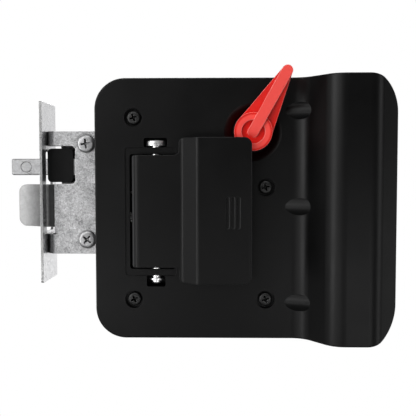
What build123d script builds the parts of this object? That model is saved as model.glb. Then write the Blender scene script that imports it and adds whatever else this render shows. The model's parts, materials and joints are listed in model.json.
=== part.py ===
from build123d import *
import os
from math import atan2, cos, degrees, radians, sin, tan

# Paddle latch for a thin caravan or camper door: inside trim with its pull paddle and lock
# lever, and the mortise lock behind it.  Millimetres.  X runs away from the bolts, Z is up, Y
# runs from the user into the door, and the origin is the middle of the trim's back on the door.

# ---------------------------------------------------------------- clearances
run_gap = 0.05          # a shaft in the bore that it turns in, on the radius
slide_gap = 0.35        # a sliding piece beside its guide
part_gap = 0.5          # pieces that pass each other
screw_gap = 0.2         # a screw in its clearance hole, on the radius

# ---------------------------------------------------------------- inside trim
trim_w = 137.2
trim_h = 118.9
trim_corner_r = 14.0
plate_t = 3.0           # the flat plate, seat rim included
relief = 0.8            # the plate's back is relieved, so that the rim alone seats
rim_w = 3.5
edge_r = 0.7
pull_rise = 16.3        # the raised pull along the right edge, above the plate
pull_foot_w = 42.7      # from the right edge to the foot of the pull's slope
pull_crest_w = 30.7     # from the right edge to the top of the slope
pull_end_w = 11.4       # from the right edge to the crest's right side
pull_foot_r = 9.5
pull_crest_r = 11.0
pull_end_r = 8.0
pull_corner_r = 16.0    # the two right corners, rounder than the left ones
pull_wall = 2.4
gusset_r = 5.2          # three rounded gussets where the pull rises from the plate
gusset_z = (44.5, 1.2, -42.7)
gusset_lead = 7.9       # how far before the pull's foot a gusset leaves the plate
gusset_rise = 21.0      # degrees
rib_t = 1.8
front_y = -plate_t
crest_y = front_y - pull_rise
pull_foot_x = trim_w / 2 - pull_foot_w
pull_crest_x = trim_w / 2 - pull_crest_w
pull_end_x = trim_w / 2 - pull_end_w
gusset_x = pull_foot_x - gusset_lead

# ---------------------------------------------------------------- mounting screws
screw_left_x = -50.9
screw_right_x = 9.3
screw_top_z = 41.6
screw_bottom_z = -41.45
screw_mid_z = 10.0
screw_r = 1.95
screw_head_r = 3.2
screw_head_h = 2.1
screw_end_y = 38.0
thread_r = 1.75         # the threaded end, plain at the thread's mean radius
screw_sink_r = 4.15
screw_sink = 2.5
post_r = 4.4
screw_spots = [
    (screw_left_x, screw_top_z),
    (screw_left_x, screw_bottom_z),
    (screw_right_x, screw_mid_z),
    (screw_right_x, screw_bottom_z),
]

# ---------------------------------------------------------------- mortise case
case_y = 14.3           # front plate's outside, behind the trim's seat
case_depth = 13.6
sheet_t = 1.5
case_top_z = 36.4       # the narrow nose that reaches the door's edge
case_bottom_z = -22.5
case_nose_x = -91.4
body_x0 = -58.0         # the wide body, hidden behind the trim
body_x1 = 19.0
body_top_z = 47.0
body_bottom_z = -47.0
notch_x = -81.1         # window in the front plate beside the deadbolt
notch_top_z = 29.4
notch_bottom_z = 11.2
notch_r = 2.0
tab_start_x = -90.5
tab_top_z = 29.6        # the upper tab ends here, the lower one at tab_low_z
tab_low_z = -13.2
face_x = -96.5          # outside of the faceplate
face_t = 1.2
face_w = 27.4
face_top_z = 50.15
face_bottom_z = -35.75
face_slot_top_z = 26.6
face_slot_bottom_z = -11.8
face_slot_w = 12.8
case_back_y = case_y + case_depth
case_mid_y = case_y + case_depth / 2
inside_y0 = case_y + sheet_t
inside_y1 = case_back_y - sheet_t
face_in_x = face_x + face_t
case_screw_r = 1.5
case_screw_head_r = 4.3
case_screw_head_h = 1.7
case_screw_spots = [(-75.7, 30.4), (-75.5, -15.6)]
spacer_r = 3.4

# ---------------------------------------------------------------- paddle and its hinge
pin_x = -40.8
pin_y = 0.3
pin_r = 2.3
pin_head_r = 4.6
pin_head_h = 2.4
pin_head_z = 28.9       # underside of the head
pin_end_z = -34.4
pocket_x0 = -54.3
pocket_lip_x0 = -52.75   # the plate's edge in front of the pocket's left wall
pocket_lip_t = 1.0
pocket_corner_r = 1.2
pocket_x1 = -32.0
pocket_top_z = 25.1
pocket_bottom_z = -27.5
web_t = 3.0             # plastic web that carries the pin at each end of the pocket
pocket_wall = 2.0
pocket_back_y = 7.6      # inside of the pocket's floor
pocket_floor_t = 1.6
trough_w = 10.8
trough_top_z = 32.4
trough_bottom_z = -35.6
paddle_x0 = -51.4
paddle_x1 = 2.6
paddle_left_y = -7.5    # outside of the low part over the hinge
paddle_right_y = -13.0  # outside of the raised part that the fingers go behind
ramp_x0 = -28.5
ramp_x1 = -21.6
paddle_left_top_z = 24.6
paddle_left_bottom_z = -26.3
paddle_top_z = 32.3
paddle_bottom_z = -33.1
paddle_neck_x = -30.0
paddle_skin = 2.0
paddle_rim = 3.0
paddle_left_r = 3.3
paddle_right_r = 0.9
paddle_skirt_y = 1.5
ear_t = 2.6
ear_r = 4.6
paddle_swing = 33.0     # degrees
grip_x0 = -8.1
grip_pitch = 2.4
grip_top_z = 6.0
grip_bottom_z = -8.2
grip_w = 1.5
grip_depth = 0.5
arm_t = 4.0
arm_z = 0.5
arm_half_w = 2.5
arm_ring_r = 4.8
arm_tip_gap = 0.7       # between the arm's tip and the back of the case
pad_t = 1.5
pad_h = 19.0

# ---------------------------------------------------------------- latch bolt
latch_top_z = 10.8
latch_bottom_z = -9.7
latch_tip_x = -111.2
latch_back_x = -83.0
latch_t = 9.8
latch_tip_r = 4.0
latch_nose_t = 2.0      # flat left at the tip, behind the slant
latch_slant_r = 26.0
tail_sunk = 8.0         # length of the tail inside the bolt
latch_travel = 13.6
tail_t = 3.0
tail_w = 10.0
tail_wall = 4.0
rod_r = 1.5
rod_end_x = -6.0
seat_x = -9.0           # lug that carries the latch spring
seat_t = 2.5

# ---------------------------------------------------------------- deadbolt
bolt_tip_x = -113.05
bolt_top_z = 23.3
bolt_bottom_z = 15.4
bolt_t = 4.0
bolt_y = 18.4
bolt_back_x = -76.0
bolt_travel = 12.3
stake_x = -105.9
stake_r = 2.7
block_x0 = -94.9
block_x1 = -82.6
block_top_z = 28.2
block_bottom_z = 12.0
block_y0 = 16.3
block_y1 = 25.4
link_t = 1.2
link_x0 = -84.0
yoke_w = 10.4
yoke_top_z = 29.0       # the fork's open top, clear of the cam's hub
detent_x = -38.0        # middle of the leaf spring that holds the deadbolt at each end
detent_half_l = 15.0
detent_t = 0.5
ledge_w = 2.5
ledge_z = 12.2

# ---------------------------------------------------------------- lock lever
lever_x = 3.3
lever_z = 34.9
lever_tilt = 29.0       # degrees to the right of upright, locked
lever_swing = 74.0
lever_hub_r = 8.5
lever_hub_y = -8.5
lever_tip_y = -16.0
lever_length = 32.1
lever_tip_r = 2.4
lever_ring_r0 = 5.3
lever_recess = 1.4
lever_base_t = 2.4
dish_r = 13.1
dish_floor_r = 9.2
dish_depth = 3.0
dish_wall = 2.2
stem_r = 4.2
stem_end_y = 4.6
spindle_side = 4.4
spindle_y0 = -6.0
clip_flange = 2.2       # a retaining clip beyond its groove
hub_r = 4.6
crank_r = 10.2
crank_pin_r = 1.75
crank_y0 = 19.0
crank_t = 2.5

bolt_mid_z = (bolt_top_z + bolt_bottom_z) / 2


def facing(y):
    """Plane at depth y that looks at the user: local x is X, local y is Z."""
    return Plane.XZ.offset(-y)


def block(x, y, z, mode=Mode.ADD):
    """A box between the limits x, y and z, each a pair."""
    with Locations((x[0], y[0], z[0])):
        Box(
            x[1] - x[0],
            y[1] - y[0],
            z[1] - z[0],
            align=(Align.MIN, Align.MIN, Align.MIN),
            mode=mode,
        )


def disc(x, z, r, y0, y1, mode=Mode.ADD):
    """A round bar along Y at (x, z), from depth y0 to depth y1."""
    with Locations(Plane((x, y0, z), z_dir=(0, 1, 0))):
        Cylinder(r, y1 - y0, align=(Align.CENTER, Align.CENTER, Align.MIN), mode=mode)


def upright(x, y, r, z0, z1, mode=Mode.ADD):
    """A round bar along Z at (x, y), from height z0 to height z1."""
    with Locations((x, y, z0)):
        Cylinder(r, z1 - z0, align=(Align.CENTER, Align.CENTER, Align.MIN), mode=mode)


def polygon(points, radii):
    """A closed outline through the points, each corner rounded to its radius."""
    with BuildLine() as outline:
        FilletPolyline(*points, radius=radii, close=True)
    make_face(outline.edges())


def coil(pitch, turns, r, wire_r):
    """A coil of six-sided wire about Z that starts at (r, 0, 0)."""
    with BuildPart() as turned:
        with BuildLine() as path:
            Helix(pitch, pitch * turns, r)
        with BuildSketch(Plane(origin=path.edge() @ 0, z_dir=path.edge() % 0)):
            RegularPolygon(wire_r, 6)
        sweep(path=path.edge())
    return turned.part


# ================================================================ interior_trim
def trim_outline(inset):
    """The trim's outline, drawn in by the inset."""
    x = trim_w / 2 - inset
    z = trim_h / 2 - inset
    left_r = trim_corner_r - inset
    right_r = pull_corner_r - inset
    polygon([(-x, -z), (x, -z), (x, z), (-x, z)], [left_r, right_r, right_r, left_r])


def on_outline(point):
    """Whether a point lies on the trim's side walls."""
    corner_r = trim_corner_r if point.X < 0 else pull_corner_r
    across = max(0, abs(point.X) - trim_w / 2 + corner_r)
    along = max(0, abs(point.Z) - trim_h / 2 + corner_r)
    return abs(corner_r - Vector(across, along).length) < 0.01


def pull_section(back_y):
    """Corners of the raised pull's section, open down to back_y."""
    return [
        (pull_foot_x, front_y),
        (pull_crest_x, crest_y),
        (pull_end_x, crest_y),
        (trim_w / 2, front_y),
        (trim_w / 2, back_y),
        (pull_foot_x, back_y),
    ]


rise = radians(gusset_rise)
gusset_start = Vector(gusset_x, front_y + gusset_r / cos(rise), 0)
gusset_run = Vector(cos(rise), -sin(rise), 0)

with BuildPart() as gusset:
    with BuildSketch(Plane(origin=gusset_start - gusset_run * gusset_r, z_dir=gusset_run)):
        Circle(gusset_r)
    extrude(amount=gusset_r + (pull_crest_x - gusset_x) / cos(rise))
    split(bisect_by=facing(front_y + edge_r), keep=Keep.TOP)

with BuildPart() as pull_cavity:
    with BuildSketch(Plane.XY.offset(-trim_h / 2)):
        polygon(pull_section(3 * pull_wall), [0, pull_crest_r, pull_end_r, 0, 0, 0])
        offset(amount=-pull_wall, mode=Mode.REPLACE)
    extrude(amount=trim_h)
    with BuildSketch(facing(2 * pull_wall)):
        trim_outline(pull_wall)
    extrude(amount=2 * pull_wall - crest_y, mode=Mode.INTERSECT)


lower_web_z = pocket_bottom_z - web_t
upper_web_z = pocket_top_z + web_t
trough_y = pin_y + pin_head_r + part_gap
trough_wall = 1.6
trough_low_w = 8.6
hinge_recess = 0.6
dish_floor_y = front_y + dish_depth


def arm_sweep(y):
    """The least and greatest X that the arm's opening needs, down to depth y."""
    swing = radians(paddle_swing)
    reach = (y - pin_y) * tan(swing) + arm_half_w / cos(swing)
    return (pin_x - arm_half_w - part_gap, pin_x + reach + part_gap)


with BuildPart() as interior_trim:
    with BuildSketch(Plane.XY.offset(-trim_h / 2)):
        polygon(
            [(-trim_w / 2, 0), (-trim_w / 2, front_y)]
            + pull_section(0)[:4]
            + [(trim_w / 2, 0)],
            [0, 0, pull_foot_r, pull_crest_r, pull_end_r, 0, 0],
        )
    extrude(amount=trim_h)
    with BuildSketch(facing(0)):
        trim_outline(0)
    extrude(amount=1 - crest_y, mode=Mode.INTERSECT)
    front = interior_trim.faces().filter_by(lambda f: f.normal_at().Y < -0.4)
    fillet(front.edges().filter_by(lambda e: on_outline(e @ 0.5)), edge_r)
    for z in gusset_z:
        with Locations((0, 0, z)):
            add(gusset.part)
    add(pull_cavity.part, mode=Mode.SUBTRACT)
    with BuildSketch(facing(0)):
        trim_outline(rim_w)
    extrude(amount=relief, mode=Mode.SUBTRACT)
    for z in gusset_z:
        with BuildSketch(Plane.XY.offset(z - rib_t / 2)):
            polygon(pull_section(0), [0, pull_crest_r, pull_end_r, 0, 0, 0])
            offset(amount=-pull_wall / 2, mode=Mode.REPLACE)
        extrude(amount=rib_t)
    # pocket box, pin webs and troughs, screw posts and the dish's cup behind the plate
    block(
        (pocket_x0 - pocket_wall, pocket_x1 + pocket_wall),
        (-relief, pocket_back_y + pocket_floor_t),
        (lower_web_z, upper_web_z),
    )
    block(
        (pin_x - trough_w / 2 - trough_wall, pin_x + trough_w / 2 + trough_wall),
        (-relief, trough_y + trough_wall),
        (upper_web_z, trough_top_z + trough_wall),
    )
    block(
        (pin_x - trough_low_w / 2 - trough_wall, pin_x + trough_low_w / 2 + trough_wall),
        (-relief, trough_y + trough_wall),
        (trough_bottom_z - trough_wall, lower_web_z),
    )
    for x, z in screw_spots:
        disc(x, z, post_r, -relief, case_y)
    disc(lever_x, lever_z, dish_r, -relief, dish_floor_y + dish_wall)
    # everything that is cut from the front
    with BuildSketch(facing(trough_y)):
        with Locations((pin_x, (upper_web_z + trough_top_z) / 2)):
            RectangleRounded(trough_w, trough_top_z - upper_web_z, 1.0)
        with Locations((pin_x, (lower_web_z + trough_bottom_z) / 2)):
            RectangleRounded(trough_low_w, lower_web_z - trough_bottom_z, 1.0)
    extrude(amount=trough_y - front_y, mode=Mode.SUBTRACT)
    with BuildSketch(facing(front_y + hinge_recess)):
        with Locations(((pocket_x0 + pocket_x1) / 2, (lower_web_z + upper_web_z) / 2)):
            RectangleRounded(pocket_x1 - pocket_x0 + 1, upper_web_z - lower_web_z, 1.5)
    extrude(amount=hinge_recess, mode=Mode.SUBTRACT)
    pocket_h = pocket_top_z - pocket_bottom_z
    with BuildSketch(facing(front_y + pocket_lip_t)):
        with Locations(((pocket_lip_x0 + pocket_x1) / 2, pocket_bottom_z + pocket_h / 2)):
            RectangleRounded(pocket_x1 - pocket_lip_x0, pocket_h, pocket_corner_r)
    extrude(amount=pocket_lip_t, mode=Mode.SUBTRACT)
    with BuildSketch(facing(pocket_back_y)):
        with Locations(((pocket_x0 + pocket_x1) / 2, pocket_bottom_z + pocket_h / 2)):
            RectangleRounded(pocket_x1 - pocket_x0, pocket_h, pocket_corner_r)
    extrude(amount=pocket_back_y - front_y - pocket_lip_t, mode=Mode.SUBTRACT)
    # the arm swings through a slot in the pocket's floor
    block(
        arm_sweep(pocket_back_y + pocket_floor_t),
        (pocket_back_y, pocket_back_y + pocket_floor_t),
        (arm_z - arm_t / 2 - part_gap, arm_z + arm_t / 2 + part_gap),
        Mode.SUBTRACT,
    )
    upright(pin_x, pin_y, pin_r, lower_web_z, upper_web_z, Mode.SUBTRACT)
    with BuildSketch(Plane.XY.offset(lever_z)):
        with BuildLine():
            Polyline(
                (lever_x + dish_floor_r, dish_floor_y),
                (lever_x, dish_floor_y),
                (lever_x, front_y),
                (lever_x + dish_r, front_y),
            )
            RadiusArc(
                (lever_x + dish_r, front_y),
                (lever_x + dish_floor_r, dish_floor_y),
                2.2 * dish_depth,
            )
        make_face()
    revolve(
        axis=Axis((lever_x, 0, lever_z), (0, 1, 0)), revolution_arc=360, mode=Mode.SUBTRACT
    )
    disc(lever_x, lever_z, stem_r + run_gap, front_y, stem_end_y, Mode.SUBTRACT)
    for x, z in screw_spots:
        disc(x, z, screw_sink_r, front_y, front_y + screw_sink, Mode.SUBTRACT)
        disc(x, z, screw_r + screw_gap, front_y, case_y, Mode.SUBTRACT)
interior_trim.part.label = "interior_trim"

# ================================================================ mounting_screws
screw_seat_y = front_y + screw_sink
with BuildPart() as mounting_screws:
    for x, z in screw_spots:
        disc(x, z, screw_r, screw_seat_y, case_back_y + part_gap)
        disc(x, z, thread_r, case_back_y + part_gap, screw_end_y)
        disc(x, z, screw_head_r, screw_seat_y - screw_head_h, screw_seat_y)
        with BuildSketch(facing(screw_seat_y - screw_head_h)):
            with Locations((x, z)):
                Rectangle(1.1 * screw_head_r, 0.28 * screw_head_r)
                Rectangle(0.28 * screw_head_r, 1.1 * screw_head_r)
        extrude(amount=-0.6 * screw_head_h, mode=Mode.SUBTRACT)
mounting_screws.part.label = "mounting_screws"

# ================================================================ paddle_pin, paddle_pin_clip
clip_z = lower_web_z - 2.1
clip_t = 0.8
clip_groove_r = 1.75
with BuildPart() as paddle_pin:
    upright(pin_x, pin_y, pin_head_r, pin_head_z, pin_head_z + pin_head_h)
    chamfer(paddle_pin.edges().filter_by(GeomType.CIRCLE).group_by(Axis.Z)[-1], 0.4)
    upright(pin_x, pin_y, pin_r, pin_end_z, pin_head_z)
    fillet(paddle_pin.edges().filter_by(GeomType.CIRCLE).group_by(Axis.Z)[0], 0.9)
    with BuildSketch(Plane.XY.offset(clip_z)):
        with Locations((pin_x, pin_y)):
            Circle(pin_r + 1)
            Circle(clip_groove_r, mode=Mode.SUBTRACT)
    extrude(amount=clip_t + run_gap, mode=Mode.SUBTRACT)
paddle_pin.part.label = "paddle_pin"

with BuildPart() as paddle_pin_clip:
    with BuildSketch(Plane.XY.offset(clip_z)):
        with Locations((pin_x, pin_y)):
            Circle(3.5)
            Circle(clip_groove_r, mode=Mode.SUBTRACT)
        with Locations((pin_x, pin_y + 2.5)):
            Rectangle(2.6, 5, mode=Mode.SUBTRACT)
    extrude(amount=clip_t)
paddle_pin_clip.part.label = "paddle_pin_clip"

# ================================================================ paddle
section_under_y = paddle_right_y + paddle_rim
ramp_lead = 1.2          # the underside turns a little after the front
skirt_top_y = front_y - part_gap
skirt_x1 = pocket_x1 - 1.5
cavity_x1 = skirt_x1 - 1.0
with BuildPart() as paddle:
    with BuildSketch(facing(paddle_skirt_y)):
        polygon(
            [
                (paddle_x0, paddle_left_bottom_z),
                (paddle_neck_x, paddle_left_bottom_z),
                (paddle_neck_x, paddle_bottom_z),
                (paddle_x1, paddle_bottom_z),
                (paddle_x1, paddle_top_z),
                (paddle_neck_x, paddle_top_z),
                (paddle_neck_x, paddle_left_top_z),
                (paddle_x0, paddle_left_top_z),
            ],
            [1.5, 2.2, 2.7, 3.4, 3.4, 2.7, 2.2, 1.5],
        )
    extrude(amount=paddle_skirt_y - paddle_right_y)
    with BuildSketch(Plane.XY.offset(paddle_bottom_z)):
        polygon(
            [
                (paddle_x0, paddle_left_y),
                (ramp_x0, paddle_left_y),
                (ramp_x1, paddle_right_y),
                (paddle_x1, paddle_right_y),
                (paddle_x1, section_under_y),
                (ramp_x1 + ramp_lead, section_under_y),
                (ramp_x0 + ramp_lead, skirt_top_y),
                (skirt_x1, skirt_top_y),
                (skirt_x1 - 2 * slide_gap, paddle_skirt_y),
                (paddle_x0, paddle_skirt_y),
            ],
            [paddle_left_r, 2.5, 2.5, paddle_right_r, 0.5, 2.0, 1.0, 0.5, 0, 0.8],
        )
    extrude(amount=paddle_top_z - paddle_bottom_z, mode=Mode.INTERSECT)
    block(
        (paddle_x0 + paddle_skin, cavity_x1),
        (paddle_left_y + paddle_skin, paddle_skirt_y),
        (paddle_left_bottom_z + ear_t, paddle_left_top_z - ear_t),
        Mode.SUBTRACT,
    )
    for z in (paddle_left_bottom_z, paddle_left_top_z - ear_t):
        upright(pin_x, pin_y, ear_r, z, z + ear_t)
    # the raised part is hollow behind, with two ribs across
    cell = (paddle_top_z - paddle_bottom_z - 4 * paddle_skin) / 3
    for n in range(3):
        z = paddle_bottom_z + paddle_skin + n * (cell + paddle_skin)
        block(
            (ramp_x1 + 2.5 * ramp_lead, paddle_x1 - paddle_skin),
            (paddle_right_y + paddle_skin, section_under_y),
            (z, z + cell),
            Mode.SUBTRACT,
        )
    upright(
        pin_x, pin_y, pin_r + run_gap, paddle_left_bottom_z, paddle_left_top_z, Mode.SUBTRACT
    )
    with BuildSketch(facing(paddle_right_y + grip_depth)):
        for n in range(3):
            with Locations((grip_x0 + n * grip_pitch, (grip_top_z + grip_bottom_z) / 2)):
                SlotOverall(grip_top_z - grip_bottom_z, grip_w, rotation=90)
    extrude(amount=grip_depth, mode=Mode.SUBTRACT)
paddle.part.label = "paddle"

# ================================================================ paddle_arm
pad_y = paddle_left_y + paddle_skin
arm_reach = inside_y1 - arm_tip_gap - pin_y
with BuildPart() as paddle_arm:
    with BuildSketch(Plane.XY.offset(arm_z - arm_t / 2)):
        with Locations((pin_x, pin_y)):
            Circle(arm_ring_r)
        with Locations((pin_x, pin_y + arm_reach / 2)):
            Rectangle(2 * arm_half_w, arm_reach)
    extrude(amount=arm_t)
    tip = paddle_arm.edges().filter_by(Axis.Z).group_by(Axis.Y)[-1]
    fillet(tip, 1.2)
    block(
        (paddle_x0 + paddle_skin + run_gap, cavity_x1 - run_gap),
        (pad_y, pad_y + pad_t),
        (arm_z - pad_h / 2, arm_z + pad_h / 2),
    )
    upright(
        pin_x, pin_y, pin_r + run_gap, arm_z - arm_t, arm_z + arm_t, Mode.SUBTRACT
    )
paddle_arm.part.label = "paddle_arm"

# ================================================================ paddle_springs
spring_wire_r = 0.6
spring_r = 3.35
spring_pitch = 1.35
spring_turns = 3
spring_leg_slope = radians(11)
spring_hook_x = -53.3
leg_turn = 15            # degrees, the legs' flats against the coil's
spring_gap = 0.8
leg_side = Vector(sin(spring_leg_slope), cos(spring_leg_slope), 0)
leg_run = Vector(-cos(spring_leg_slope), sin(spring_leg_slope), 0)
leg_start = Vector(pin_x, pin_y, 0) + leg_side * spring_r
leg_length = (leg_start.X - spring_hook_x) / cos(spring_leg_slope)
leg_end = leg_start + leg_run * leg_length
spring_h = spring_pitch * spring_turns
paddle_coil = coil(spring_pitch, spring_turns, spring_r, spring_wire_r)
upper_coil_z = arm_z + arm_t / 2 + spring_gap
lower_coil_z = arm_z - arm_t / 2 - spring_gap - spring_h
with BuildPart() as paddle_springs:
    for z, leg_z in ((upper_coil_z, upper_coil_z + spring_h), (lower_coil_z, lower_coil_z)):
        with Locations(Location((pin_x, pin_y, z), (0, 0, 90 - degrees(spring_leg_slope)))):
            add(paddle_coil)
        with BuildSketch(Plane(origin=leg_start + Vector(0, 0, leg_z), z_dir=leg_run)):
            RegularPolygon(spring_wire_r, 6, rotation=leg_turn)
        extrude(amount=leg_length)
    # the lower leg ends in an upright hook
    with Locations(leg_end + Vector(0, 0, lower_coil_z)):
        Sphere(spring_wire_r)
    upright(
        leg_end.X, leg_end.Y, spring_wire_r, lower_coil_z, lower_coil_z + 4.8 - spring_wire_r
    )
paddle_springs.part.label = "paddle_springs"

# ================================================================ lock_lever
tilt = radians(lever_tilt)
lever_run = Vector(sin(tilt), 0, cos(tilt))
lever_side = Vector(cos(tilt), 0, -sin(tilt))
lever_origin = Vector(lever_x, 0, lever_z)
lever_plane = Plane(lever_origin, x_dir=lever_side, z_dir=(0, -1, 0))
lever_profile = Plane(lever_origin, x_dir=lever_run, z_dir=lever_side)
tip_mid = lever_length - lever_tip_r
flank = atan2(lever_hub_r - lever_tip_r, tip_mid)
hub_side = (lever_hub_r * cos(flank), lever_hub_r * sin(flank))
tip_side = (lever_tip_r * cos(flank), tip_mid + lever_tip_r * sin(flank))
hub_top = -lever_hub_y
tip_top = -lever_tip_y
lever_clip_t = 0.8
lever_clip_y = dish_floor_y + dish_wall + 0.3
lever_groove_r = stem_r - 0.7

with BuildPart() as lever_rib:
    with BuildSketch(lever_plane):
        with Locations((0, (lever_length - lever_tip_r) / 2)):
            SlotOverall(lever_length + lever_tip_r, 2 * lever_tip_r, rotation=90)
    extrude(amount=tip_top + 1)
    with BuildSketch(lever_profile):
        with BuildLine():
            Polyline(
                (-lever_tip_r, hub_top - lever_recess - 0.5),
                (lever_length, tip_top - lever_base_t - 1.2),
                (lever_length, tip_top),
            )
            Spline(
                (lever_length, tip_top),
                (0.4 * lever_length, hub_top + 2.2),
                (-lever_tip_r, hub_top - lever_recess),
                tangents=((-1, -0.2), (-1, -0.55)),
            )
            Line(
                (-lever_tip_r, hub_top - lever_recess),
                (-lever_tip_r, hub_top - lever_recess - 0.5),
            )
        make_face()
    extrude(amount=lever_hub_r, both=True, mode=Mode.INTERSECT)

with BuildPart() as lock_lever:
    # tapering blade that climbs from the hub to the tip
    with BuildSketch(lever_plane):
        Circle(lever_hub_r)
        with Locations((0, tip_mid)):
            Circle(lever_tip_r)
        Polygon(
            hub_side,
            tip_side,
            (-tip_side[0], tip_side[1]),
            (-hub_side[0], hub_side[1]),
            align=None,
        )
    extrude(amount=tip_top)
    blade_y = plate_t + part_gap
    with BuildSketch(lever_profile):
        Polygon(
            (-lever_hub_r, hub_top - 1.6),
            (-lever_hub_r, blade_y),
            (dish_r, blade_y),
            (lever_length, tip_top - lever_base_t - 0.6),
            (lever_length, tip_top - 0.6),
            (0.4 * lever_length, hub_top + 0.3),
            (0.25 * lever_length, hub_top - 1.3),
            align=None,
        )
    extrude(amount=lever_hub_r + 1, both=True, mode=Mode.INTERSECT)
    disc(lever_x, lever_z, lever_hub_r, lever_hub_y, -slide_gap)
    disc(lever_x, lever_z, lever_ring_r0, lever_hub_y, lever_hub_y + lever_recess, Mode.SUBTRACT)
    add(lever_rib.part)
    disc(lever_x, lever_z, stem_r, slide_gap - plate_t, stem_end_y)
    disc(lever_x, lever_z, stem_r + 0.1, lever_clip_y, lever_clip_y + lever_clip_t, Mode.SUBTRACT)
    disc(lever_x, lever_z, lever_groove_r, lever_clip_y, lever_clip_y + lever_clip_t)
    with BuildSketch(facing(stem_end_y)):
        with Locations((lever_x, lever_z)):
            RectangleRounded(spindle_side, spindle_side, 0.4)
    extrude(amount=stem_end_y - spindle_y0, mode=Mode.SUBTRACT)
lock_lever.part.label = "lock_lever"

# ================================================================ lever_clip, lever_spindle
with BuildPart() as lever_clip:
    with BuildSketch(facing(lever_clip_y)):
        with Locations((lever_x, lever_z)):
            Circle(stem_r + clip_flange)
            Circle(lever_groove_r, mode=Mode.SUBTRACT)
        # the clip's mouth
        with Locations((lever_x, lever_z + stem_r)):
            Rectangle(1.2 * lever_groove_r, 2 * stem_r, mode=Mode.SUBTRACT)
    extrude(amount=-lever_clip_t)
lever_clip.part.label = "lever_clip"

with BuildPart() as lever_spindle:
    with BuildSketch(facing(case_back_y + part_gap)):
        with Locations((lever_x, lever_z)):
            RectangleRounded(spindle_side, spindle_side, 0.4)
    extrude(amount=case_back_y + part_gap - spindle_y0)
lever_spindle.part.label = "lever_spindle"

# ================================================================ lock_cam, cam_pin
half_swing = radians(lever_swing / 2)
cam_pin_x = lever_x - crank_r * sin(half_swing)
cam_pin_z = lever_z - crank_r * cos(half_swing)
crank_y1 = crank_y0 + crank_t
link_y0 = bolt_y - link_t
with BuildPart() as lock_cam:
    disc(lever_x, lever_z, hub_r, case_y - part_gap, case_back_y + part_gap)
    with BuildSketch(facing(crank_y1)):
        with Locations((lever_x, lever_z)):
            Circle(hub_r + 2)
        with Locations((cam_pin_x, cam_pin_z)):
            Circle(crank_pin_r + 1.8)
        make_hull()
    extrude(amount=crank_t)
    with BuildSketch(facing(case_back_y + part_gap)):
        with Locations((lever_x, lever_z)):
            RectangleRounded(spindle_side, spindle_side, 0.4)
    extrude(amount=case_depth + 2 * part_gap, mode=Mode.SUBTRACT)
    disc(cam_pin_x, cam_pin_z, crank_pin_r, crank_y0, crank_y1, Mode.SUBTRACT)
lock_cam.part.label = "lock_cam"

with BuildPart() as cam_pin:
    disc(cam_pin_x, cam_pin_z, crank_pin_r, link_y0 - 0.2, crank_y1)
cam_pin.part.label = "cam_pin"

# ================================================================ faceplate
with BuildPart() as faceplate:
    block(
        (face_x, face_in_x),
        (case_mid_y - face_w / 2, case_mid_y + face_w / 2),
        (face_bottom_z, face_top_z),
    )
    fillet(faceplate.edges().filter_by(Axis.X), 0.8)
    with BuildSketch(Plane.YZ.offset(face_x)):
        with Locations((case_mid_y, (face_slot_top_z + face_slot_bottom_z) / 2)):
            RectangleRounded(face_slot_w, face_slot_top_z - face_slot_bottom_z, 1.0)
    extrude(amount=face_t, mode=Mode.SUBTRACT)
faceplate.part.label = "faceplate"


# ================================================================ case_front, case_back
case_corners = [
    (tab_start_x, case_bottom_z),
    (body_x0, case_bottom_z),
    (body_x0, body_bottom_z),
    (body_x1, body_bottom_z),
    (body_x1, body_top_z),
    (body_x0, body_top_z),
    (body_x0, case_top_z),
    (tab_start_x, case_top_z),
]
case_radii = [0, 3, 4, 4, 4, 4, 3, 0]
bend_r = tab_start_x - face_in_x
tab_reach_y = case_mid_y - part_gap / 2
nose_tabs = ((tab_top_z, case_top_z), (case_bottom_z, tab_low_z))
with BuildPart() as case_front:
    with BuildSketch(facing(inside_y0)):
        polygon(case_corners, case_radii)
    extrude(amount=sheet_t)
    block(
        (case_nose_x, tab_start_x + 1), (case_y, inside_y0), (tab_low_z + 0.6, notch_bottom_z)
    )
    with BuildSketch(facing(inside_y0)):
        polygon(
            [
                (case_nose_x - 4, notch_bottom_z),
                (notch_x, notch_bottom_z),
                (notch_x, notch_top_z),
                (case_nose_x - 4, notch_top_z),
            ],
            [0, notch_r, notch_r, 0],
        )
    extrude(amount=sheet_t, mode=Mode.SUBTRACT)
    for z0, z1 in nose_tabs:
        with BuildSketch(Plane.XY.offset(z0)):
            polygon(
                [
                    (tab_start_x + 1, case_y),
                    (face_in_x, case_y),
                    (face_in_x, tab_reach_y),
                    (face_in_x + sheet_t, tab_reach_y),
                    (face_in_x + sheet_t, inside_y0),
                    (tab_start_x + 1, inside_y0),
                ],
                [0, bend_r, 0, 0, bend_r - sheet_t, 0],
            )
        extrude(amount=z1 - z0)
    block(
        arm_sweep(inside_y0),
        (case_y, inside_y0),
        (arm_z - arm_t / 2 - part_gap, arm_z + arm_t / 2 + part_gap),
        Mode.SUBTRACT,
    )
    for x, z in screw_spots:
        disc(x, z, screw_r + screw_gap, case_y, inside_y0, Mode.SUBTRACT)
    for x, z in case_screw_spots:
        disc(x, z, case_screw_r + screw_gap, case_y, inside_y0, Mode.SUBTRACT)
    disc(lever_x, lever_z, hub_r + run_gap, case_y, inside_y0, Mode.SUBTRACT)
case_front.part.label = "case_front"

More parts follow.
